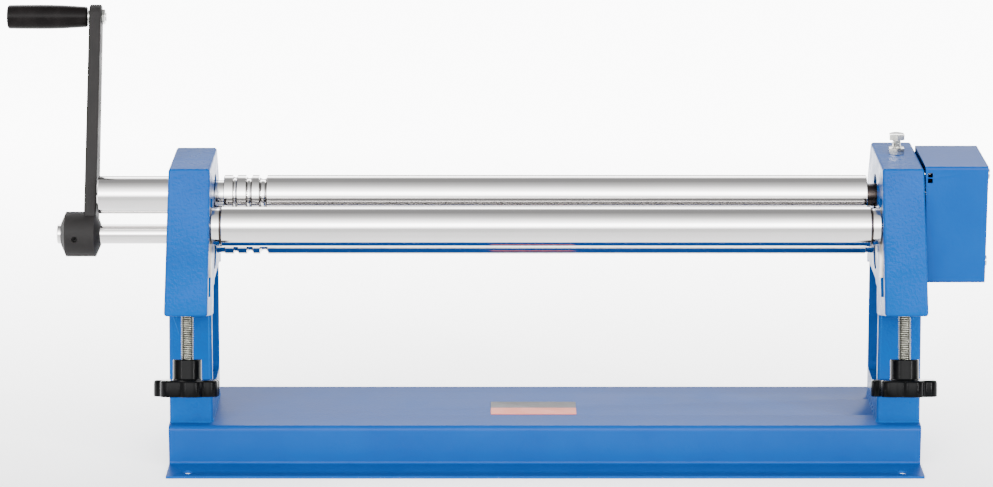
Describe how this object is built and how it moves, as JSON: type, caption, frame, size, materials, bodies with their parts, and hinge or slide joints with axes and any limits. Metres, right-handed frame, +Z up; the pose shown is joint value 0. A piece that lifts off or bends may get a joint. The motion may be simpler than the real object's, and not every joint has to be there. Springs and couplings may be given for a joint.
{
  "type": "slip roll machine",
  "caption": "Hand-cranked bench slip roll: geared pinch rolls and a height-adjustable bending roll between cast end frames on a folded sheet base.",
  "frame": {"origin": "centre of the four bench bolts, on the bench surface under the base", "axes": "+X along the rolls from the crank end to the gear end, +Y away from the operator, +Z up from the bench"},
  "size_m": [0.9358, 0.2622, 0.4263],
  "materials": {
    "blue_sheet": "smooth gloss blue enamel on bent sheet steel",
    "blue_casting": "blue hammered enamel on cast iron",
    "block_iron": "machined iron, lightly oiled",
    "bearing_iron": "machined and oiled",
    "roll_steel": "ground and polished",
    "gear_steel": "hobbed and oiled",
    "zinc_steel": "zinc plated",
    "black_steel": "black oxide",
    "crank_iron": "dark satin enamel",
    "knob_plastic": "moulded black",
    "grip_plastic": "moulded black"
  },
  "bodies": {
    "frame": {"base": "blue_sheet", "left_end_frame": "blue_casting", "right_end_frame": "blue_casting", "left_frame_bolts": "zinc_steel", "right_frame_bolts": "zinc_steel", "left_drive_bearing": "bearing_iron", "right_drive_bearing": "bearing_iron", "left_top_bearing": "bearing_iron", "right_top_bearing": "bearing_iron", "top_adjust_bolt": "zinc_steel", "top_lock_nut": "zinc_steel", "gear_cover": "blue_sheet", "cover_posts": "zinc_steel", "cover_screws": "zinc_steel"},
    "bending_carriage": {"left_bending_bearing": "block_iron", "right_bending_bearing": "block_iron"},
    "bending_roll": {"bending_roll": "roll_steel"},
    "left_knob": {"left_height_knob": "knob_plastic", "left_height_screw": "zinc_steel"},
    "right_knob": {"right_height_knob": "knob_plastic", "right_height_screw": "zinc_steel"},
    "drive_roll": {"drive_roll": "roll_steel", "drive_gear": "gear_steel", "drive_gear_key": "gear_steel", "drive_gear_screw": "zinc_steel", "crank_hub": "crank_iron", "crank_arm": "crank_iron", "crank_set_screw": "black_steel", "grip_spindle": "zinc_steel", "grip_nut": "zinc_steel"},
    "crank_grip": {"crank_grip": "grip_plastic"},
    "top_roll": {"top_roll": "roll_steel", "top_gear": "gear_steel", "top_gear_key": "gear_steel", "top_gear_screw": "zinc_steel", "top_roll_sleeve": "roll_steel", "sleeve_set_screw": "black_steel"}
  },
  "joints": [
    {"name": "crank_turn", "type": "hinge", "parent": "frame", "child": "drive_roll", "pos_m": [0, -0.034, 0.222], "axis": [1, 0, 0], "continuous": true},
    {"name": "top_roll_turn", "type": "hinge", "parent": "frame", "child": "top_roll", "pos_m": [0, -0.034, 0.2605], "axis": [1, 0, 0], "continuous": true},
    {"name": "grip_turn", "type": "hinge", "parent": "drive_roll", "child": "crank_grip", "pos_m": [-0.4, 0.05981, 0.41434], "axis": [1, 0, 0], "continuous": true},
    {"name": "bending_roll_height", "type": "slide", "parent": "frame", "child": "bending_carriage", "axis": [0, 0.2588, 0.9659], "range_m": [-0.0175, 0.007]},
    {"name": "bending_roll_turn", "type": "hinge", "parent": "bending_carriage", "child": "bending_roll", "pos_m": [0, -0.086, 0.243], "axis": [1, 0, 0], "continuous": true},
    {"name": "left_knob_turn", "type": "hinge", "parent": "bending_carriage", "child": "left_knob", "pos_m": [-0.33655, -0.12353, 0.10294], "axis": [0, 0.2588, 0.9659], "range_deg": [-3600, 1440]},
    {"name": "right_knob_turn", "type": "hinge", "parent": "bending_carriage", "child": "right_knob", "pos_m": [0.33655, -0.12353, 0.10294], "axis": [0, 0.2588, 0.9659], "range_deg": [-3600, 1440]}
  ],
  "couplings": [
    {"joint": "top_roll_turn", "follows": "crank_turn", "ratio": -1},
    {"joint": "left_knob_turn", "follows": "bending_roll_height", "rad_per_m": 3590.4},
    {"joint": "right_knob_turn", "follows": "bending_roll_height", "rad_per_m": 3590.4}
  ]
}
